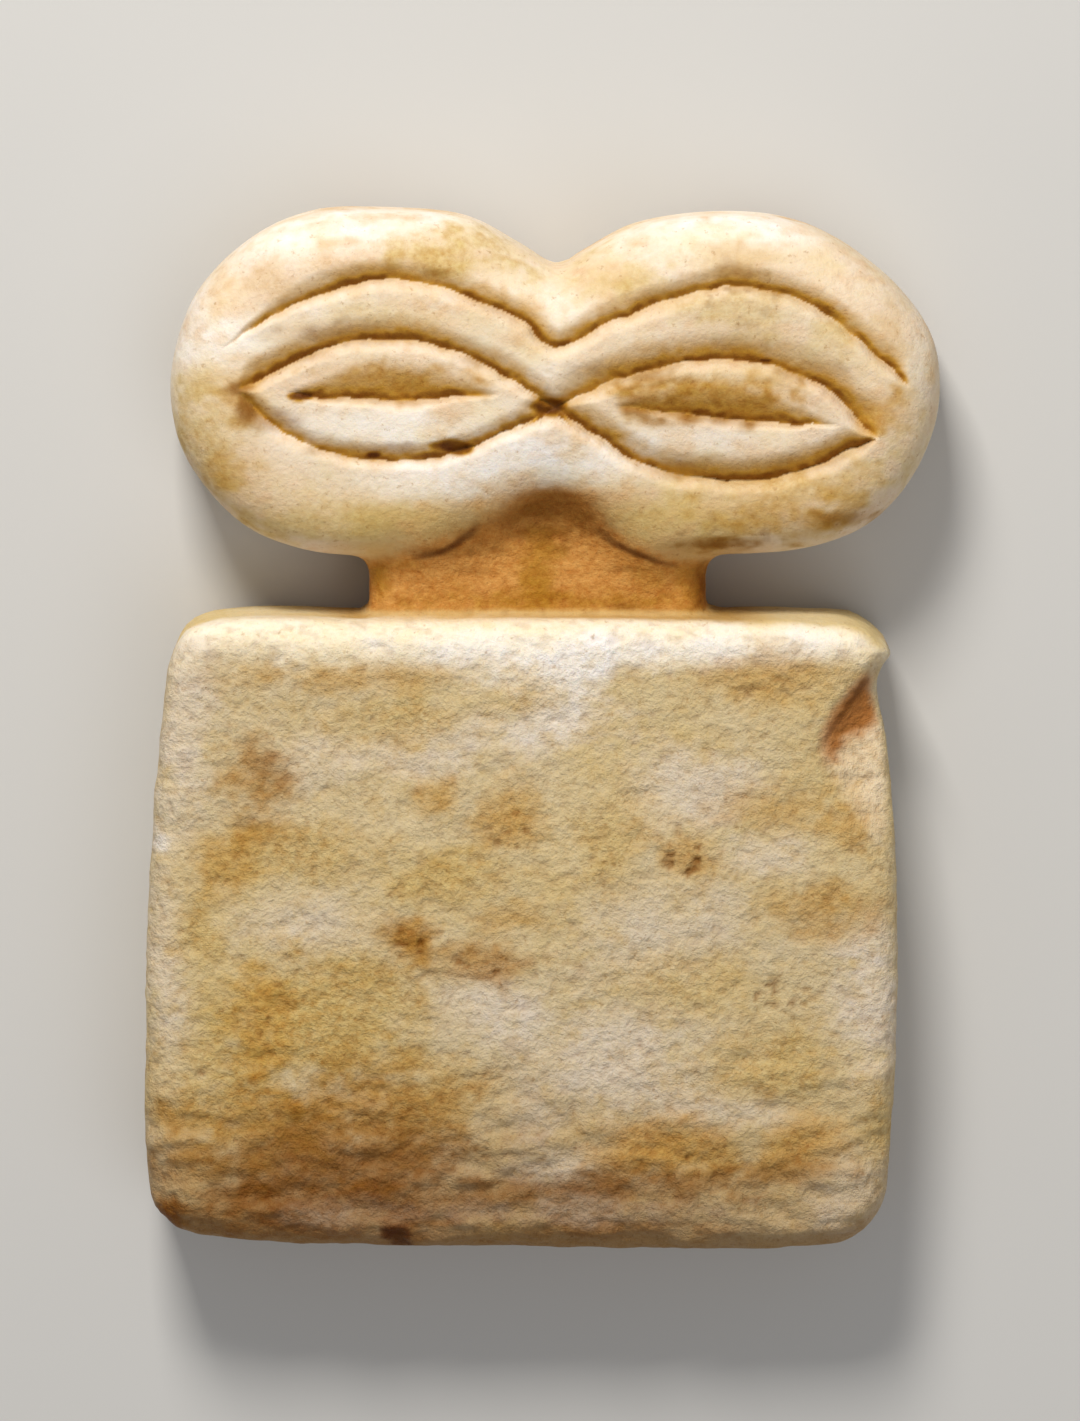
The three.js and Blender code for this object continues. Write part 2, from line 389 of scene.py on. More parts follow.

# Stains on the front by colour, in the order they are laid on: place across and up the
# stone, half-width, half-height and strength. Some white ones are painted highlight: along
# the shoulder's front edge, along the head's top rim, and a glint on the left edge.
STAINS = [
    (
        GREY,
        [
            (-7.0, -0.8, 4.0, 1.6, 0.8),
            (-20.9, 0.5, 1.6, 6.0, 0.8),
            (-21.6, -14.0, 1.4, 8.0, 0.7),
            (8.5, -3.2, 4.0, 2.8, 0.7),
            (0.7, 1.2, 4.2, 1.8, 0.8),
            (12.8, -6.8, 2.6, 1.6, 0.6),
            (-13.0, -1.4, 2.6, 2.2, 0.5),
            (-14.1, -11.0, 4.2, 1.8, 0.5),
            (-4.0, -15.6, 3.4, 2.6, 0.7),
            (4.4, -18.9, 6.5, 4.4, 0.8),
            (6.6, -11.0, 5.0, 2.4, 0.5),
            (18.8, -16.0, 2.0, 4.4, 1.0),
            (11.6, -22.0, 3.2, 1.3, 0.7),
            (17.4, -26.0, 2.6, 2.6, 0.4),
            (0.5, -25.0, 3.4, 1.4, 0.5),
        ],
    ),
    (
        WHITE,
        [
            (-3.2, 16.2, 5.0, 1.3, 0.8),
            (0.4, 16.6, 2.6, 1.3, 0.8),
            (3.6, 15.9, 3.4, 1.3, 0.7),
            (-9.0, 18.0, 5.5, 0.9, 0.6),
            (-9.0, 14.4, 4.0, 1.0, 0.5),
            (-6.0, 14.6, 3.6, 1.6, 0.6),
            (-10.0, 24.6, 6.0, 0.6, 0.4),
            (0.8, 24.9, 3.0, 1.6, 0.6),
            (0.4, 21.2, 2.0, 1.4, 0.5),
            # Paler stone and painted highlight along the head's top rim.
            (-11.0, 29.0, 9.0, 1.6, 0.9),
            (-15.5, 27.0, 2.4, 1.6, 0.5),
            (-18.4, 22.8, 1.8, 2.2, 0.6),
            # Paler stone and painted highlight along the head's top rim.
            (8.0, 28.8, 5.0, 1.4, 0.8),
            (4.6, 27.6, 1.8, 1.0, 0.5),
            (7.0, 27.0, 2.6, 1.0, 0.5),
            (14.4, 24.2, 1.8, 0.9, 0.6),
            (-19.5, 24.0, 1.6, 2.6, 0.5),
            (9.5, 17.2, 4.0, 0.7, 0.4),
            # The next four rows: painted highlight along the shoulder's front edge, on paler
            # stone.
            (-6.0, 5.0, 5.0, 1.0, 0.5),
            (5.5, 4.8, 4.0, 1.0, 0.7),
            (-0.5, 4.0, 4.5, 1.8, 0.7),
            (-2.0, 5.4, 4.5, 1.0, 0.8),
            (0.5, 1.0, 3.6, 1.4, 0.25),
            # Painted highlight along the shoulder's front edge.
            (12.0, 5.2, 5.0, 0.9, 0.6),
            # Paler stone and painted highlight along the head's top rim.
            (13.0, 29.2, 4.0, 1.2, 0.8),
            # A painted glint on the left edge.
            (-22.0, -6.3, 0.5, 0.6, 0.8),
        ],
    ),
    (
        HONEY,
        [
            (-6.3, 27.6, 4.4, 1.4, 1.0),
            (3.4, 26.2, 3.4, 1.2, 0.6),
            (-8.4, 24.2, 3.4, 0.8, 0.5),
            (-3.6, 23.8, 2.2, 1.4, 0.2),
            (-19.3, 20.3, 1.4, 1.0, 0.5),
            (-19.2, 16.4, 2.4, 3.6, 0.8),
            (-14.0, 13.2, 6.0, 2.2, 0.6),
            (12.6, 13.6, 6.0, 2.4, 0.8),
            (18.4, 15.4, 2.6, 2.6, 0.6),
            (9.0, 20.8, 5.5, 1.0, 0.5),
            (-12.8, 12.2, 5.0, 1.1, 0.5),
            (-6.4, 12.4, 4.5, 1.2, 0.6),
            (5.6, 12.6, 4.5, 1.5, 0.7),
            (4.4, 26.0, 3.0, 1.7, 0.6),
            (11.8, 24.4, 6.5, 1.6, 0.65),
            (10.0, 27.4, 6.0, 1.3, 0.35),
            (16.4, 22.8, 2.6, 1.8, 0.5),
            (3.4, 21.4, 2.4, 1.6, 0.2),
            (20.9, 16.2, 2.0, 3.0, 0.4),
            (-8.6, 1.0, 3.4, 1.8, 0.6),
            (-1.4, 2.2, 2.2, 1.3, 0.5),
            (4.0, -5.6, 2.2, 3.4, 0.5),
            (-5.2, -8.0, 5.0, 1.6, 0.6),
            (-13.4, -6.8, 6.0, 1.8, 0.6),
            (-20.0, -11.2, 1.6, 2.2, 0.7),
            (-12.3, -16.0, 6.0, 3.8, 0.8),
            (-18.5, -21.0, 4.0, 4.0, 0.8),
            (-6.5, -20.4, 4.5, 2.4, 0.5),
            (13.0, -19.2, 4.6, 2.2, 0.6),
            (16.5, -1.8, 2.6, 2.2, 0.3),
            (8.4, -14.6, 5.0, 2.0, 0.4),
            (19.3, -22.5, 1.4, 2.2, 0.5),
        ],
    ),
    (
        OCHRE,
        [
            (-15.4, 26.0, 2.2, 1.5, 0.55),
            (-17.3, 19.7, 1.3, 1.3, 0.8),
            (-9.0, 20.6, 5.0, 1.1, 1.0),
            (10.4, 19.4, 6.0, 1.3, 1.0),
            (-10.4, 27.0, 3.6, 0.7, 0.35),
            (-17.6, 14.9, 2.2, 2.2, 0.6),
            (11.2, 27.3, 2.0, 1.0, 0.4),
            (19.6, 23.2, 1.3, 2.2, 0.4),
            (19.4, 18.6, 1.7, 1.5, 0.8),
            (13.6, 12.9, 4.6, 1.4, 0.8),
            (17.6, 14.4, 2.4, 1.6, 0.4),
            (-11.0, 3.4, 6.0, 1.0, 0.45),
            (13.4, 3.2, 4.4, 1.5, 0.45),
            (13.4, -4.2, 3.4, 1.3, 0.4),
            (17.6, -4.8, 1.8, 1.8, 0.5),
            (15.8, -9.9, 3.6, 1.6, 0.5),
            (8.4, -6.8, 1.9, 1.6, 0.55),
            (-2.1, -4.6, 2.2, 2.2, 0.6),
            (-5.8, -3.6, 1.3, 1.1, 0.6),
            (-18.6, -7.6, 2.2, 1.8, 0.5),
            (-1.8, -10.4, 2.2, 1.2, 0.5),
            (-16.3, -16.4, 1.6, 3.6, 0.6),
            (7.0, -24.0, 4.6, 1.9, 0.7),
            (14.6, -23.8, 3.0, 1.8, 0.6),
        ],
    ),
    (
        ORANGE,
        [
            (-16.2, -3.1, 2.2, 2.6, 0.65),
            (-9.4, -21.6, 5.5, 3.0, 0.65),
            (-17.0, -22.4, 5.0, 2.2, 0.6),
            (-5.8, -12.4, 2.6, 0.8, 0.5),
            (-7.8, -11.6, 1.8, 1.0, 0.8),
            (-3.8, -13.2, 3.2, 1.1, 0.6),
            (17.9, 12.6, 3.0, 0.7, 0.6),
            (9.6, 10.9, 3.0, 0.6, 0.9),
            (-20.4, -24.0, 1.8, 3.0, 0.4),
        ],
    ),
    (
        BROWN,
        [
            (-12.5, -24.7, 10.0, 2.0, 0.65),
            (-14.0, -27.9, 8.0, 1.6, 0.9),
            (-2.0, -26.9, 11.0, 1.3, 0.55),
            (6.5, -25.9, 5.0, 1.0, 0.55),
            (14.6, -25.4, 3.0, 0.9, 0.4),
            (-15.8, -1.9, 1.0, 1.0, 0.4),
            (-17.4, 20.0, 0.8, 0.45, 0.8),
            (-17.0, 18.9, 0.6, 0.45, 0.8),
            (-21.4, -27.6, 1.0, 1.0, 0.9),
            (-9.5, 26.7, 3.0, 0.5, 0.7),
            (-11.0, 23.2, 3.4, 0.6, 0.7),
            (-2.2, 24.6, 1.6, 0.5, 0.4),
            (-13.5, 21.9, 1.6, 0.4, 0.5),
            (-3.5, 21.7, 1.5, 0.4, 0.4),
            (-12.6, 19.9, 2.0, 0.4, 0.6),
            (11.3, 26.4, 1.6, 0.7, 0.8),
            (10.0, 11.0, 2.6, 0.4, 0.8),
            (17.6, 12.6, 2.0, 0.4, 0.5),
            (14.0, 25.5, 1.4, 0.3, 0.5),
            (5.0, 21.2, 3.4, 0.7, 0.7),
            (9.8, 22.2, 2.6, 0.6, 0.8),
            (15.6, 20.9, 2.4, 0.6, 0.5),
            (9.5, 15.4, 3.4, 0.6, 0.7),
            (14.6, 15.9, 2.6, 0.5, 0.6),
            (-9.0, 16.4, 4.0, 0.4, 0.5),
            (-15.6, 18.3, 1.6, 0.6, 0.5),
            (10.6, 18.7, 3.6, 0.8, 0.8),
            (6.2, 19.1, 2.0, 0.5, 0.6),
            (-9.0, 19.8, 4.6, 0.45, 0.6),
            (-14.0, -26.2, 5.0, 0.5, 0.6),
            (-18.6, -26.6, 2.6, 0.6, 0.5),
            (-3.4, -25.9, 1.8, 0.4, 0.5),
            (4.4, -28.6, 6.0, 0.7, 0.5),
        ],
    ),
    (
        ASH,
        [
            (-12.0, -27.9, 3.0, 0.9, 0.5),
            (-1.4, -25.2, 2.2, 0.6, 0.5),
            (2.0, -27.6, 8.0, 0.7, 0.6),
        ],
    ),
]

# Stains on the neck's front, given as the others are. The first two brown ones are
# partly grime and partly painted shadow under the chin.
NECK_STAINS = [
    (
        ORANGE,
        [
            (-0.3, 9.2, 1.2, 2.6, 0.8),
            (-8.0, 9.6, 1.6, 0.5, 0.4),
            (-9.4, 8.8, 0.8, 1.8, 0.8),
            (0.0, 7.4, 8.5, 1.0, 0.9),
            (8.4, 9.0, 1.6, 1.8, 0.6),
            (6.0, 9.0, 1.6, 1.4, 0.4),
        ],
    ),
    (
        BROWN,
        [
            # This row and the next: partly grime, partly painted shadow under the chin.
            (0.9, 13.2, 3.0, 1.5, 0.65),
            (-1.6, 12.0, 4.0, 1.3, 0.5),
            (-6.0, 10.5, 2.2, 0.5, 0.7),
            (9.3, 8.2, 0.8, 2.2, 0.9),
            (-4.2, 9.3, 1.4, 0.3, 0.4),
            (4.6, 7.2, 1.0, 0.3, 0.5),
            (4.6, 9.4, 1.6, 0.3, 0.4),
        ],
    ),
]

# The creases where the chin meets the neck, darkened with painted shade.
CREASES = [
    [(3.0, 11.8), (4.2, 10.9), (5.5, 10.3), (6.9, 9.8), (7.8, 9.6)],
    [(-7.6, 10.0), (-5.7, 10.5), (-4.6, 11.2), (-3.6, 12.2)],
]


def smooth_step(low, high, value):
    """0 at `low` and 1 at `high`, with a smooth rise between; `low` may be the larger."""
    t = np.clip((value - low) / (high - low), 0.0, 1.0)
    return t * t * (3.0 - 2.0 * t)


def smooth_min(a, b, reach):
    """The smaller of two fields, with a fillet of about `reach` where they meet."""
    h = np.maximum(reach - np.abs(a - b), 0.0) / reach
    return np.minimum(a, b) - h * h * reach / 4.0


def spline(points, closed, steps):
    """Points along the centripetal Catmull-Rom curve through `points`."""
    points = np.array(points, float)
    if closed:
        framed = np.vstack([points[-1:], points, points[:2]])
    else:
        before = 2 * points[0] - points[1]
        after = 2 * points[-1] - points[-2]
        framed = np.vstack([before, points, after])
    curve = []
    for a, b, c, d in zip(framed, framed[1:], framed[2:], framed[3:]):
        ab, bc, cd = (math.sqrt(np.linalg.norm(q - p)) for p, q in ((a, b), (b, c), (c, d)))
        out = bc * ((b - a) / ab - (c - a) / (ab + bc) + (c - b) / bc)
        back = bc * ((c - b) / bc - (d - b) / (bc + cd) + (d - c) / cd)
        t = np.arange(steps)[:, None] / steps
        curve.append(
            b * (2 * t**3 - 3 * t**2 + 1)
            + out * (t**3 - 2 * t**2 + t)
            + c * (3 * t**2 - 2 * t**3)
            + back * (t**3 - t**2)
        )
    if not closed:
        curve.append(points[-1:])
    return np.vstack(curve)


def ring_distance(x, y, ring):
    """Distance of places to a closed ring, negative inside it."""
    nearest = np.full(x.shape, np.inf)
    inside = np.zeros(x.shape, bool)
    for (px, py), (qx, qy) in zip(ring, np.roll(ring, -1, axis=0)):
        ex, ey = qx - px, qy - py
        wx, wy = x - px, y - py
        t = np.clip((wx * ex + wy * ey) / (ex * ex + ey * ey), 0.0, 1.0)
        nearest = np.minimum(nearest, (wx - t * ex) ** 2 + (wy - t * ey) ** 2)
        if ey != 0:
            straddles = (py > y) != (qy > y)
            inside ^= straddles & (wx < ex * wy / ey)
    return np.where(inside, -1.0, 1.0) * np.sqrt(nearest)


class PlanMap:
    """A ring's distance kept on a fine grid over the plan, and read back smoothly."""

    LOW = (-27.0, -34.0)
    HIGH = (27.0, 34.0)
    PITCH = 0.2

    def __init__(self, outline):
        xs = np.arange(self.LOW[0], self.HIGH[0], self.PITCH)
        ys = np.arange(self.LOW[1], self.HIGH[1], self.PITCH)
        ring = spline(outline, True, 10)
        self.values = ring_distance(*np.meshgrid(xs, ys, indexing="ij"), ring)

    def at(self, x, y):
        """The distance at each place, mixed from the four grid points around it."""
        u = np.clip((x - self.LOW[0]) / self.PITCH, 0, self.values.shape[0] - 1.001)
        v = np.clip((y - self.LOW[1]) / self.PITCH, 0, self.values.shape[1] - 1.001)
        i, j = u.astype(int), v.astype(int)
        s, t = u - i, v - j
        near = self.values[i, j] * (1 - t) + self.values[i, j + 1] * t
        far = self.values[i + 1, j] * (1 - t) + self.values[i + 1, j + 1] * t
        return near * (1 - s) + far * s


BODY_PLAN = PlanMap(BODY["outline"])
HEAD_PLAN = PlanMap(HEAD["outline"])


def rounded_slab(across, z, back, front, back_edge, front_edge):
    """A slab's field from its plan distance, with its front and back edges rounded."""
    upper = z > (back + front) / 2
    edge = np.where(upper, front_edge, back_edge)
    rise = np.where(upper, z - front, back - z)
    u, v = across + edge, rise + edge
    corner = np.maximum(u, 0) ** EDGE_POWER + np.maximum(v, 0) ** EDGE_POWER
    return np.minimum(np.maximum(u, v), 0) + corner ** (1 / EDGE_POWER) - edge


def slab_field(shape, plan, p):
    """The field of the body or head, with a domed front and a front edge that varies."""
    x, y, z = p.T
    cx, cy = shape["centre"]
    rx, ry = shape["crown_reach"]
    crown = shape["crown"] * np.maximum(0, 1 - ((x - cx) / rx) ** 2 - ((y - cy) / ry) ** 2) ** 2
    base = min(place[1] for place in shape["outline"])
    at_waist = np.exp(-(((x - cx) / WAIST_WIDTH) ** 2))
    low_edge = shape["base_edge"] + (shape["waist_edge"] - shape["base_edge"]) * at_waist
    front_edge = low_edge + (shape["front_edge"] - low_edge) * smooth_step(base, cy, y)
    front = shape["front"] + crown
    return rounded_slab(plan.at(x, y), z, shape["back"], front, shape["back_edge"], front_edge)


def neck_field(p):
    """The field of the neck, a bar that runs into the body and the head."""
    x, y, z = p.T
    sides = np.abs(x - NECK["middle"]) - NECK["half_width"]
    bar = rounded_slab(sides, z, NECK["back"], NECK["front"], NECK["edge"], NECK["edge"])
    return np.maximum(bar, np.maximum(NECK["from"] - y, y - NECK["to"]))


def plane_field(p, a, b, c):
    """Distance of points above the plane through three places, given anticlockwise."""
    a, b, c = (np.array(place, float) for place in (a, b, c))
    normal = np.cross(b - a, c - a)
    return (p - a) @ (normal / np.linalg.norm(normal))


def flake_field(p):
    """Positive where the flake has gone."""
    wall = plane_field(p, FLAKE["tip"], FLAKE["inner"], FLAKE["foot"])
    floor = plane_field(p, FLAKE["heel"], FLAKE["low"], FLAKE["foot"])
    edge = plane_field(p, FLAKE["inner"], FLAKE["low"], FLAKE["heel"])
    return smooth_min(smooth_min(wall, floor, FLAKE_ROUNDING), edge, FLAKE_ROUNDING)


def stone_field(p):
    """The idol's signed distance before its eyes are cut and its surface is worn."""
    body = slab_field(BODY, BODY_PLAN, p)
    head = slab_field(HEAD, HEAD_PLAN, p)
    stone = smooth_min(body, neck_field(p), SHOULDER_FILLET)
    middle = smooth_step(*CHIN_REACH, np.abs(p[:, 0] - NECK["middle"]))
    stone = smooth_min(stone, head, NOTCH_FILLET + (CHIN_FILLET - NOTCH_FILLET) * middle)
    stone = -smooth_min(-stone, -flake_field(p), FLAKE_LIP)
    for place, radius in NICKS:
        stone = np.maximum(stone, radius - np.linalg.norm(p - place, axis=1))
    return stone


def field_slope(p):
    """The stone field's unit slope, which points out of the stone."""
    slope = np.empty_like(p)
    for axis in range(3):
        step = np.zeros(3)
        step[axis] = NUDGE
        slope[:, axis] = stone_field(p + step) - stone_field(p - step)
    return slope / np.maximum(np.linalg.norm(slope, axis=1), 1e-9)[:, None]


def settle(p, rounds):
    """Moves points along the slope onto the stone's surface."""
    for _ in range(rounds):
        p = p - field_slope(p) * stone_field(p)[:, None]
    return p


def surface_net(low, high):
    """A quad mesh of the stone: one vertex in each grid cell that its surface crosses."""
    axes = [np.arange(a, b, CELL) for a, b in zip(low, high)]
    grid = np.stack(np.meshgrid(*axes, indexing="ij"), -1)
    field = stone_field(grid.reshape(-1, 3)).reshape(grid.shape[:3])
    sums = np.zeros(field.shape + (3,))
    counts = np.zeros(field.shape)
    quads = []
    around = [(-1, -1), (0, -1), (0, 0), (-1, 0)]
    for axis in range(3):
        near = np.take(field, range(field.shape[axis] - 1), axis)
        far = np.take(field, range(1, field.shape[axis]), axis)
        crossing = np.argwhere((near < 0) != (far < 0))
        a, b = near[tuple(crossing.T)], far[tuple(crossing.T)]
        where = crossing.astype(float)
        where[:, axis] += a / (a - b)
        corners = []
        for first, second in around:
            cell = crossing.copy()
            cell[:, (axis + 1) % 3] += first
            cell[:, (axis + 2) % 3] += second
            np.add.at(sums, tuple(cell.T), where)
            np.add.at(counts, tuple(cell.T), 1)
            corners.append(cell)
        for k, leaving in enumerate(a < 0):
            ring = [tuple(corner[k]) for corner in corners]
            quads.append(ring if leaving else ring[::-1])
    used = np.argwhere(counts > 0)
    index = {tuple(cell): i for i, cell in enumerate(used)}
    cells = tuple(used.T)
    points = np.array(low) + CELL * sums[cells] / counts[cells][:, None]
    return points, [[index[cell] for cell in quad] for quad in quads]


def line_distance(x, y, line):
    """Signed distance above an open line, and the share of its length at the nearest point."""
    lengths = np.linalg.norm(np.diff(line, axis=0), axis=1)
    starts = np.concatenate([[0], np.cumsum(lengths)])
    nearest = np.full(x.shape, np.inf)
    above = np.zeros(x.shape)
    share = np.zeros(x.shape)
    for (px, py), (qx, qy), length, start in zip(line, line[1:], lengths, starts):
        ex, ey = (qx - px) / length, (qy - py) / length
        wx, wy = x - px, y - py
        t = np.clip(wx * ex + wy * ey, 0, length)
        square = (wx - t * ex) ** 2 + (wy - t * ey) ** 2
        closer = square < nearest
        nearest = np.where(closer, square, nearest)
        side = np.where(ex * wy - ey * wx >= 0, 1.0, -1.0)
        above = np.where(closer, side * np.sqrt(square), above)
        share = np.where(closer, (start + t) / starts[-1], share)
    return above, share


def fade_at(cut, share):
    """How much of a cut's width and depth is left at a share of its length."""
    first, last = cut["ends"]
    opening = np.minimum(1, share / first) if first else np.ones_like(share)
    closing = np.minimum(1, (1 - share) / last) if last else np.ones_like(share)
    return np.sin(0.5 * math.pi * opening) * np.sin(0.5 * math.pi * closing)


CUT_LINES = {name: spline(cut["line"], False, 10) for name, cut in CUTS.items()}


def near_a_cut(x, y):
    """Whether places are in the band beside a cut that takes the finest mesh."""
    close = np.zeros(x.shape, bool)
    for name, cut in CUTS.items():
        above, _ = line_distance(x, y, CUT_LINES[name])
        close |= (above > -FINE_BELOW) & (above < cut["wide"] + FINE_ABOVE)
    return close


def noise(p, size, seed):
    """Smooth noise from -1 to 1, with blobs of about `size` millimetres on each axis."""
    q = p / np.array(size) + seed * NOISE_SHIFT
    cell = np.floor(q).astype(np.int64)
    t = q - cell
    t = t * t * t * (t * (t * 6 - 15) + 10)
    total = np.zeros(len(p))
    for corner in np.ndindex(2, 2, 2):
        mixed = ((cell + corner) @ NOISE_CELL + seed * NOISE_SEED) & NOISE_LIMIT
        mixed = ((mixed ^ (mixed >> 13)) * NOISE_STIR) & NOISE_LIMIT
        mixed ^= mixed >> 16
        weight = np.prod(np.where(corner, t, 1 - t), axis=1)
        total += weight * (mixed / NOISE_HALF - 1.0)
    return total


def cut_shape(cut, above, fade, waver):
    """A cut's depth at each point, and how far down its upper wall the point is."""
    wide = cut["wide"] * np.maximum(fade, 0.05) * (1 + waver)
    steep = cut["steep"] * np.maximum(fade, 0.25)
    upper = np.clip(1 - above / wide, 0, 1)
    lower = np.clip(1 + above / steep, 0, 1)
    wall = np.where(above > 0, upper**UPPER_CURVE, lower**LOWER_CURVE)
    slot = SLOT_DEPTH * smooth_step(SLOT_REACH, 0.0, np.abs(above - 0.05))
    return fade * (cut["depth"] * wall + slot), upper


def cut_dirt_and_shade(cut, above, upper, waver):
    """A cut's grime and painted shade: a wash down its upper wall, partly painted shade as that
    wall faces away from the light, and a broken line at its bottom.
    """
    line = smooth_step(0.45, 0.04, np.abs(above - 0.12)) * (0.65 + 2.6 * waver)
    # The wash on the upper wall is partly grime and partly painted shade, as that wall faces
    # away from the light.
    wash = 0.25 * smooth_step(0.0, 0.4, upper) + 0.4 * smooth_step(0.3, 0.95, upper)
    return cut["dirt_and_shade"] * (wash * (above > 0) + 0.4 * line)


def carve(p):
    """Depth of the cuts of the eyes at each point of the head's front, and their grime with
    painted shade.
    """
    x, y = p[:, 0], p[:, 1]
    waver = 0.12 * noise(p, (1.6, 1.6, 9.0), 3) + 0.09 * noise(p, (0.7, 0.7, 9.0), 4)
    patchy = 1.0 + 0.3 * noise(p, (2.8, 2.8, 9.0), 5)
    depth = np.zeros(len(p))
    dirt_and_shade = np.zeros(len(p))
    for name, cut in CUTS.items():
        above, share = line_distance(x, y, CUT_LINES[name])
        above = above + waver
        fade = fade_at(cut, share)
        deep, upper = cut_shape(cut, above, fade, waver)
        depth = np.maximum(depth, deep)
        soil_and_shade = cut_dirt_and_shade(cut, above, upper, waver) * patchy
        dirt_and_shade = np.maximum(dirt_and_shade, soil_and_shade * smooth_step(0, 0.5, fade))
    for (px, py), (rx, ry), deep in PITS:
        r = np.hypot((x - px) / rx, (y - py) / ry) + 2 * waver
        hole = smooth_step(1.15, 0.35, r)
        depth += deep * hole
        dirt_and_shade = np.maximum(dirt_and_shade, (1.25 + waver) * hole)
    return depth, dirt_and_shade


def spotted(p):
    """How much of a small dark pit there is at each point."""
    x, y = p[:, 0], p[:, 1]
    share = SCATTERED_PITS * smooth_step(9.0, 7.0, y)
    for px, py, rx, ry, strength in PITTED:
        r = np.hypot((x - px) / rx, (y - py) / ry)
        share = np.maximum(share, strength * smooth_step(1.4, 0.5, r))
    grains = noise(p, (0.55, 0.4, 0.5), 19) + 0.5 * noise(p, (0.3, 0.26, 0.3), 20)
    return share * smooth_step(0.3, 0.75, grains)


def body_share(y):
    """1 on the body and 0 on the neck and head."""
    return smooth_step(7.2, 6.4, y)


def wear(p, normal):
    """How far the surface stands out of its plain shape: waves, tool marks, pits."""
    y = p[:, 1]
    on_body = body_share(y)
    front = smooth_step(0.0, 0.8, normal[:, 2])
    base = smooth_step(-15.0, -24.0, y) * on_body
    height = np.zeros(len(p))
    for everywhere, more_on_body, size, seed in WAVES:
        height += (everywhere + more_on_body * on_body) * noise(p, size, seed)
    for rise, size, seed in TOOL_MARKS:
        height += rise * base * front * noise(p, size, seed)
    hollows = smooth_step(0.5, 0.85, noise(p, (1.2, 0.7, 1.0), 18))
    height -= HOLLOW_DEPTH * hollows * on_body * front
    height -= SPOT_DEPTH * spotted(p) * front * on_body
    flake = smooth_step(-0.25, 0.0, flake_field(p))
    height += flake * 0.06 * noise(p, (0.9, 0.9, 0.9), 17)
    behind = smooth_step(0.3, -0.6, normal[:, 2])
    return height * (1 - behind) + behind * np.minimum(height, 0)


def towards(colour, target, share):
    """Colours moved towards a target colour by a share at each point."""
    share = np.clip(share, 0, 1)[:, None]
    return colour * (1 - share) + target * share


def patch_share(x, y, patch, ragged):
    """How much of a stain there is at each point: a soft oval with a ragged edge."""
    px, py, rx, ry, strength = patch
    r = np.hypot((x - px) / rx, (y - py) / ry) + ragged
    return strength * smooth_step(1.5, 0.15, r)


def base_tint_and_painted_light(p, normal, shoulder, low):
    """The stone without its stains: paler on the head and shoulder, with painted highlight
    along the shoulder's edge, and browner at the base, partly painted shade, most where it
    faces down.
    """
    x, y = p[:, 0], p[:, 1]
    on_head = smooth_step(8.5, 10.5, y)
    colour = towards(np.tile(BEIGE, (len(p), 1)), CREAM, on_head)
    cloudy = smooth_step(-0.4, 0.6, noise(p, (6.0, 4.0, 5.0), 23))
    colour = towards(colour, HONEY, cloudy * (0.3 - 0.15 * on_head))
    # Paler stone on the shoulder, with a painted highlight along its edge.
    colour = towards(colour, IVORY, 0.9 * shoulder)
    # Browner towards the base: partly the stone's own brown, partly painted shade.
    colour = towards(colour, BROWN, (0.55 - 0.2 * smooth_step(4.0, 14.0, x)) * low)
    # Painted shade on the surfaces near the base that face down.
    under = smooth_step(0.2, 0.8, -normal[:, 1])
    return towards(colour, BROWN, 0.4 * low * under)


def neck_share(p, ragged):
    """How much of the neck's brown there is: on what is neither body nor head."""
    x, y = p[:, 0], p[:, 1]
    body = slab_field(BODY, BODY_PLAN, p)
    head = slab_field(HEAD, HEAD_PLAN, p)
    chin = smooth_step(4.0, 0.5, np.abs(x - 0.8)) * smooth_step(14.6, 13.6, y)
    off_head = smooth_step(-0.3, 0.8, head + 0.3 * ragged + 0.5 * chin)
    return np.minimum(smooth_step(0.1, 0.5, body), off_head)


def beside_neck(p):
    """How near the head's underside is to the neck's sides, from 0 to 1."""
    x, y = p[:, 0], p[:, 1]
    head = slab_field(HEAD, HEAD_PLAN, p)
    near = smooth_step(13.5, 9.5, np.abs(x)) * smooth_step(15.0, 12.5, y)
    return near * (1 - body_share(y)) * smooth_step(-2.0, -0.4, head)


def lay_stains(colour, stained, stains, p, ragged, where):
    """Lays patches of stain, painted highlight and painted shadow over the colour, and notes
    how stained each point is.
    """
    for stain, patches in stains:
        for patch in patches:
            share = patch_share(p[:, 0], p[:, 1], patch, ragged) * where
            colour = towards(colour, stain, share)
            if stain is not GREY and stain is not WHITE:
                stained = np.maximum(stained, share)
    return colour, stained


def paint_crease_shade(colour, p, ragged, front):
    """Darkens the creases under the chin with painted shade, most at the middle of each one's
    length.
    """
    x, y = p[:, 0], p[:, 1]
    head = slab_field(HEAD, HEAD_PLAN, p)
    where = 0.85 * front * smooth_step(-1.4, -0.6, head)
    for line in CREASES:
        above, along = line_distance(x, y, spline(line, False, 6))
        mark = smooth_step(0.36, 0.05, np.abs(above) + 0.15 * ragged)
        colour = towards(colour, UMBER, mark * np.sin(math.pi * along) ** 0.5 * where)
    return colour


def tint_and_shade_shoulder_top(colour, p):
    """The shoulder's top strip: yellow stone with painted shade from the head over it, darkest
    beside the neck.
    """
    x, y, z = p.T
    strip = body_share(y) * smooth_step(7.9, 6.9, z - 0.06 * x) * smooth_step(4.5, 5.5, y)
    colour = towards(colour, HONEY, 0.8 * strip)
    # Painted shadow of the head, darkest beside the neck.
    return towards(colour, ORANGE, 0.8 * strip * smooth_step(14.0, 10.5, np.abs(x)))


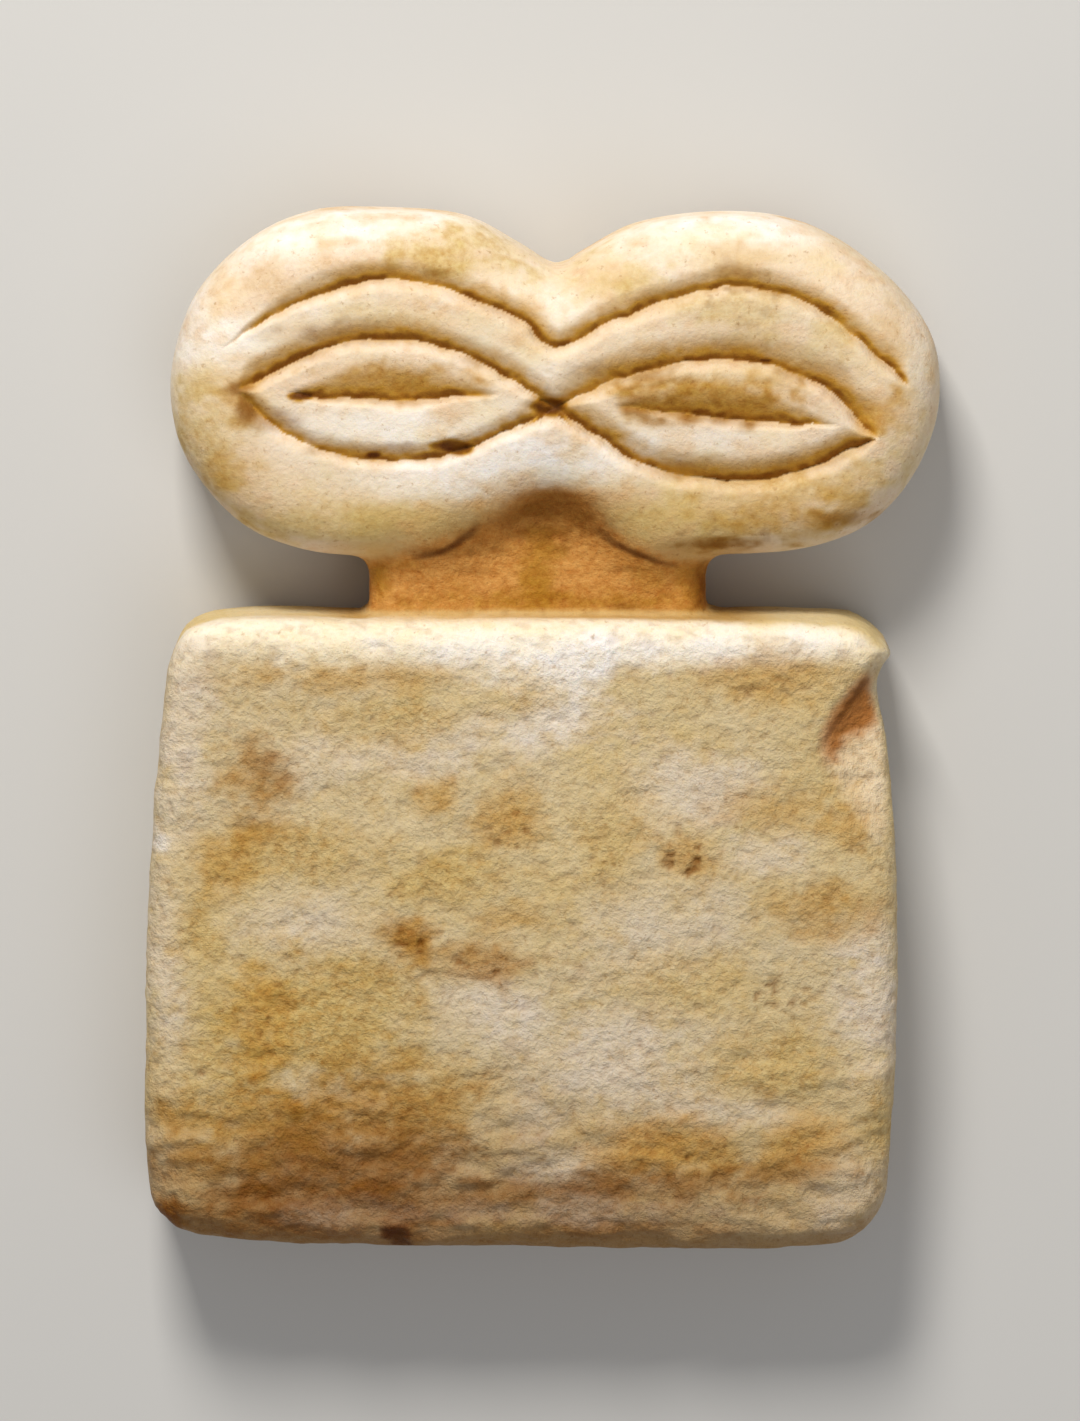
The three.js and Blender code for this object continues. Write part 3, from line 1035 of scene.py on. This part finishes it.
def tint_flake(colour, p, ragged):
    """The break: a pale floor, a rusty wall and painted shade in the cleft along the wall's
    foot.
    """
    x, y = p[:, 0], p[:, 1]
    broken = smooth_step(-0.3, 0.05, flake_field(p))
    colour = towards(colour, SHELL, 0.75 * broken)
    wall = plane_field(p, FLAKE["tip"], FLAKE["inner"], FLAKE["foot"])
    rusty = broken * smooth_step(1.3, 0.5, wall + ragged)
    rusty *= smooth_step(4.3, 3.1, y + 0.8 * ragged) * smooth_step(19.7, 18.5, x + 0.6 * ragged)
    colour = towards(colour, RUST, 0.95 * rusty)
    # Painted shade in the cleft along the wall's foot.
    off_cleft = np.abs(1.37 * (x - 17.0) - (y - 1.0)) / 1.7
    cleft = smooth_step(0.2, 0.03, off_cleft + 0.3 * ragged)
    return towards(colour, UMBER, 0.6 * rusty * cleft)


def tint_dirt_and_shade(colour, soil_and_shade, dirt_and_shade, grit):
    """The grime and painted shade in the cuts, from ochre where thin to umber in the deepest
    pits.
    """
    colour = towards(colour, OCHRE, 1.9 * soil_and_shade)
    colour = towards(colour, BROWN, 0.9 * smooth_step(0.45, 0.95, soil_and_shade))
    return towards(colour, UMBER, smooth_step(0.95, 1.35, dirt_and_shade + 0.4 * grit))


def tint_nicks(colour, p, ragged):
    """Darkens the nicks in the base's edge."""
    for place, radius in NICKS:
        away = np.linalg.norm(p - place, axis=1) + 0.3 * ragged
        colour = towards(colour, UMBER, 0.85 * smooth_step(radius * 1.5, radius, away))
    return colour


def tint(p, normal, dirt_and_shade):
    """The stone's colour at each point, before the material's fine mottling.

    With it come three shares for the material: how grimy the point is, with the cuts'
    painted shade, how stained it is, and how much of the fine grain it shows.
    """
    y = p[:, 1]
    ragged = 0.4 * noise(p, (2.2, 1.6, 2.0), 21) + 0.3 * noise(p, (0.9, 0.6, 0.8), 22)
    ragged += 0.25 * noise(p, (0.5, 0.4, 0.5), 24)
    front = smooth_step(-0.15, 0.25, normal[:, 2])
    on_body = body_share(y)
    # The shoulder band: paler stone and a painted highlight along its edge.
    shoulder = smooth_step(3.4, 6.0, y + 1.2 * ragged) * on_body
    # Towards the base, where the stone is browner and painted shade darkens it.
    low = smooth_step(-16.0, -29.0, y + 1.5 * ragged)
    beside = beside_neck(p)
    bare = neck_share(p, ragged)
    colour = base_tint_and_painted_light(p, normal, shoulder, low)
    colour = towards(colour, HONEY, 0.8 * beside)
    colour = towards(colour, NECK_BROWN, bare)
    askew = p @ ASKEW
    mottling = noise(askew, (4.6, 3.2, 3.4), 26) + 0.7 * noise(askew, (1.9, 1.5, 1.6), 27)
    mottled = smooth_step(-0.1, 1.1, mottling + 0.6 * ragged)
    colour = towards(colour, OCHRE, 0.6 * mottled * (1 - front))
    stained = np.zeros(len(p))
    colour, stained = lay_stains(colour, stained, STAINS, p, ragged, front * (1 - bare))
    colour, stained = lay_stains(colour, stained, NECK_STAINS, p, ragged, front * bare)
    colour = paint_crease_shade(colour, p, ragged, front)
    colour = tint_and_shade_shoulder_top(colour, p)
    colour = tint_flake(colour, p, ragged)
    colour = towards(colour, BROWN, 0.8 * spotted(p) * front)
    grit = 0.7 * ragged + 0.2 * noise(p, (0.4, 0.3, 0.4), 25)
    # The cuts' grime, with the painted shade on their upper walls.
    soil_and_shade = np.clip(dirt_and_shade * (1.0 + grit), 0, 1)
    colour = tint_dirt_and_shade(colour, soil_and_shade, dirt_and_shade, grit)
    colour = tint_nicks(colour, p, ragged)
    soiled_and_shaded = np.clip(np.maximum.reduce([2.2 * soil_and_shade, bare, beside, 1.2 * stained]), 0, 1)
    # Less grain on the shoulder keeps its painted highlight bright.
    grain = 0.25 + (0.75 + 0.4 * stained) * on_body + 0.3 * low + 0.5 * bare - 0.4 * shoulder
    stained = np.clip(np.maximum.reduce([stained, 0.9 * soil_and_shade, 0.8 * bare]), 0, 1)
    return np.clip(colour, 0, 1), soiled_and_shaded, stained, np.clip(grain, 0, 1.4)


def finer_region(level, places):
    """Which places each halving takes in: the upper stone, its front, and then the cuts."""
    outward = field_slope(places)[:, 2]
    if level == 0:
        return places[:, 2] > 2.0
    if level == 1:
        return (places[:, 2] > 5.0) & (outward > 0.1)
    return near_a_cut(places[:, 0], places[:, 1]) & (outward > 0.3)


def refined_mesh():
    """The stone's net in millimetres, made finer where its detail shows."""
    points, quads = surface_net(NET_LOW, NET_HIGH)
    points = settle(points, 4)
    mesh = bpy.data.meshes.new("eye_idol_stone")
    mesh.from_pydata(points.tolist(), [], quads)
    net = bmesh.new()
    net.from_mesh(mesh)
    for level in range(HALVINGS):
        net.verts.ensure_lookup_table()
        chosen = finer_region(level, np.array([v.co for v in net.verts]))
        edges = [e for e in net.edges if all(chosen[v.index] for v in e.verts)]
        bmesh.ops.subdivide_edges(net, edges=edges, cuts=1, use_grid_fill=True)
        net.verts.ensure_lookup_table()
        places = settle(np.array([v.co for v in net.verts]), 2)
        for vertex, place in zip(net.verts, places):
            vertex.co = place
    bmesh.ops.triangulate(net, faces=[f for f in net.faces if len(f.verts) > 4])
    net.to_mesh(mesh)
    net.free()
    return mesh


def keep_for_material(mesh, colour, shares):
    """Stores the tint and the named shares on the mesh's vertices."""
    tints = mesh.attributes.new("tint", "FLOAT_COLOR", "POINT")
    tints.data.foreach_set("color", np.column_stack([colour, np.ones(len(colour))]).ravel())
    for name, values in shares.items():
        layer = mesh.attributes.new(name, "FLOAT", "POINT")
        layer.data.foreach_set("value", values)


def idol():
    """The finished stone: worn, carved, tinted, and laid where the CAD solid lies."""
    mesh = refined_mesh()
    p = np.empty(len(mesh.vertices) * 3)
    mesh.vertices.foreach_get("co", p)
    p = p.reshape(-1, 3)
    plain_low, plain_high = p.min(0), p.max(0)
    normal = field_slope(p)
    depth, dirt_and_shade = carve(p)
    facing = smooth_step(0.2, 0.45, normal[:, 2])
    depth, dirt_and_shade = depth * facing, dirt_and_shade * facing
    colour, soiled_and_shaded, stained, grain = tint(p, normal, dirt_and_shade)
    p = p + normal * wear(p, normal)[:, None]
    p[:, 2] -= depth
    middle = (plain_low + plain_high) / 2
    p -= (middle[0], middle[1], plain_low[2])
    p[:, 2] = np.maximum(p[:, 2], 0)
    mesh.vertices.foreach_set("co", (p * MM).ravel())
    keep_for_material(mesh, colour, {"soiled_and_shaded": soiled_and_shaded, "stained": stained, "grain": grain})
    mesh.shade_smooth()
    mesh.update()
    piece = bpy.data.objects.new("eye_idol_stone", mesh)
    bpy.context.scene.collection.objects.link(piece)
    return piece, middle


class Nodes:
    """Adds nodes to a material, one kind by each method, and gives their outputs."""

    def __init__(self, material):
        material.use_nodes = True
        self.nodes = material.node_tree.nodes
        self.links = material.node_tree.links
        self.shader = self.nodes["Principled BSDF"]
        self.place = self.nodes.new("ShaderNodeTexCoord").outputs["Object"]

    def attribute(self, name, output):
        """What the mesh keeps under a name."""
        node = self.nodes.new("ShaderNodeAttribute")
        node.attribute_name = name
        return node.outputs[output]

    def cloud(self, size_mm, detail, stretch=(1.0, 1.0, 1.0)):
        """Noise with blobs of about a size, laid over the stone itself."""
        spread = self.nodes.new("ShaderNodeMapping")
        spread.inputs["Scale"].default_value = stretch
        self.links.new(self.place, spread.inputs["Vector"])
        texture = self.nodes.new("ShaderNodeTexNoise")
        texture.inputs["Scale"].default_value = 1.0 / (size_mm * MM)
        texture.inputs["Detail"].default_value = detail
        texture.inputs["Roughness"].default_value = 0.65
        self.links.new(spread.outputs["Vector"], texture.inputs["Vector"])
        return texture.outputs["Fac"]

    def band(self, value, low, high, bottom, top):
        """A value's rise from `low` to `high` turned into one from `bottom` to `top`."""
        spread = self.nodes.new("ShaderNodeMapRange")
        spread.inputs["From Min"].default_value = low
        spread.inputs["From Max"].default_value = high
        spread.inputs["To Min"].default_value = bottom
        spread.inputs["To Max"].default_value = top
        self.links.new(value, spread.inputs["Value"])
        return spread.outputs["Result"]

    def times(self, first, second):
        """Two values multiplied."""
        product = self.nodes.new("ShaderNodeMath")
        product.operation = "MULTIPLY"
        self.links.new(first, product.inputs[0])
        self.links.new(second, product.inputs[1])
        return product.outputs["Value"]

    def washed(self, colour, share, factors):
        """A colour multiplied by factors, by a share at each point."""
        mix = self.nodes.new("ShaderNodeMix")
        mix.data_type = "RGBA"
        mix.blend_type = "MULTIPLY"
        self.links.new(share, mix.inputs["Factor"])
        self.links.new(colour, mix.inputs["A"])
        mix.inputs["B"].default_value = (*factors, 1.0)
        return mix.outputs["Result"]


def alabaster():
    """Worn alabaster: the tint broken up by mottling, flecks and a fine grain, with painted
    shade in the grain's hollows.
    """
    material = bpy.data.materials.new("alabaster")
    made = Nodes(material)
    shader = made.shader
    shader.inputs["Subsurface Weight"].default_value = 0.1
    shader.inputs["Subsurface Radius"].default_value = (1.0, 0.7, 0.35)
    shader.inputs["Subsurface Scale"].default_value = 0.0006
    shader.inputs["Specular IOR Level"].default_value = 0.15

    flat = (0.9, 1, 1)
    bumps = made.cloud(0.42, 4)
    grain = made.attribute("grain", "Fac")
    # Less bleaching where the stone is grimy, counting the cuts' painted shade.
    clean_and_unshaded = made.band(made.attribute("soiled_and_shaded", "Fac"), 0, 1, 1, 0)
    stained = made.attribute("stained", "Fac")
    layers = [
        (made.band(made.cloud(3.4, 5, flat), 0.48, 0.7, 0, 0.5), YELLOWED),
        (made.times(clean_and_unshaded, made.band(made.cloud(2.6, 5, flat), 0.44, 0.62, 0, 0.9)), BLEACHED),
        (made.times(grain, made.band(made.cloud(1.1, 4, flat), 0.52, 0.72, 0, 0.5)), GRAINED),
        (made.times(stained, made.band(made.cloud(0.5, 6), 0.38, 0.66, 0, 1)), SPECKLED),
        (made.band(made.cloud(0.4, 3), 0.62, 0.72, 0, 0.5), FLECKED),
        # Painted shade in the hollows of the fine grain.
        (made.times(grain, made.band(bumps, 0.3, 0.48, 0.35, 0)), HOLLOW_SHADE),
    ]
    colour = made.attribute("tint", "Color")
    for share, factors in layers:
        colour = made.washed(colour, share, factors)
    made.links.new(colour, shader.inputs["Base Color"])
    roughness = made.band(made.cloud(1.2, 4), 0.3, 0.7, 0.5, 0.7)
    made.links.new(roughness, shader.inputs["Roughness"])

    bump = made.nodes.new("ShaderNodeBump")
    bump.inputs["Strength"].default_value = 0.9
    bump.inputs["Distance"].default_value = 0.28 * MM
    made.links.new(made.times(grain, bumps), bump.inputs["Height"])
    made.links.new(bump.outputs["Normal"], shader.inputs["Normal"])
    return material


def floor():
    """A plain pale floor under the stone."""
    mesh = bpy.data.meshes.new("floor")
    half = 1.5
    corners = [(-half, -half, 0), (half, -half, 0), (half, half, 0), (-half, half, 0)]
    mesh.from_pydata(corners, [], [(0, 1, 2, 3)])
    ground = bpy.data.objects.new("floor", mesh)
    bpy.context.scene.collection.objects.link(ground)
    material = bpy.data.materials.new("floor")
    material.use_nodes = True
    shader = material.node_tree.nodes["Principled BSDF"]
    shader.inputs["Base Color"].default_value = (0.62, 0.61, 0.59, 1)
    shader.inputs["Roughness"].default_value = 0.9
    mesh.materials.append(material)


def lamp(name, place, size, watts, colour):
    """A square soft light, aimed at the stone's middle."""
    light = bpy.data.lights.new(name, "AREA")
    light.size = size
    light.energy = watts
    light.color = colour
    holder = bpy.data.objects.new(name, light)
    holder.location = place
    holder.rotation_euler = (-Vector(place)).to_track_quat("-Z", "Y").to_euler()
    holder.visible_camera = False
    bpy.context.scene.collection.objects.link(holder)


def lights():
    """A soft key from above the head, a weak fill and a pale surround."""
    lamp("key", (-0.07, 0.30, 0.255), 0.11, 1.5, (1.0, 0.97, 0.92))
    lamp("fill", (0.20, -0.20, 0.50), 0.4, 0.6, (0.98, 0.98, 1.0))
    world = bpy.data.worlds.new("studio")
    bpy.context.scene.world = world
    world.use_nodes = True
    backdrop = world.node_tree.nodes["Background"]
    backdrop.inputs["Color"].default_value = (0.95, 0.95, 0.95, 1)
    backdrop.inputs["Strength"].default_value = 0.27


# The photograph's view: its scale, its distance, its tilt towards the head, and where
# the stone's middle lies in the 1080 x 1421 frame.
PHOTO_SIZE = (1080, 1421)
PIXELS_PER_MM = 17.3
DISTANCE_MM = 500.0
TILT = math.radians(7.5)
AIM_HEIGHT_MM = 5.0
MIDDLE_PIXEL = (543.5, 727.0)


def camera(middle):
    """The camera at the photograph's angle, over the stone as it lies."""
    back = Vector((0, math.sin(TILT), math.cos(TILT)))
    right = Vector((1, 0, 0))
    up = back.cross(right)
    aside = (PHOTO_SIZE[0] / 2 - MIDDLE_PIXEL[0]) / PIXELS_PER_MM
    above = (MIDDLE_PIXEL[1] - PHOTO_SIZE[1] / 2) / PIXELS_PER_MM
    aim = Vector((-middle[0], -middle[1], AIM_HEIGHT_MM))
    place = aim + back * DISTANCE_MM + right * aside + up * above
    data = bpy.data.cameras.new("camera")
    data.sensor_width = 36.0
    data.lens = DISTANCE_MM * PIXELS_PER_MM / max(PHOTO_SIZE) * data.sensor_width
    data.clip_start = 0.01
    data.clip_end = 10.0
    holder = bpy.data.objects.new("camera", data)
    turn = Matrix((right, up, back)).transposed().to_4x4()
    holder.matrix_world = Matrix.Translation(place * MM) @ turn
    bpy.context.scene.collection.objects.link(holder)
    bpy.context.scene.camera = holder
    bpy.context.scene.view_settings.view_transform = "Standard"


stone, middle = idol()
stone.data.materials.append(alabaster())
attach(stone, "root")
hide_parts("eye_idol")

floor()
lights()
camera(middle)
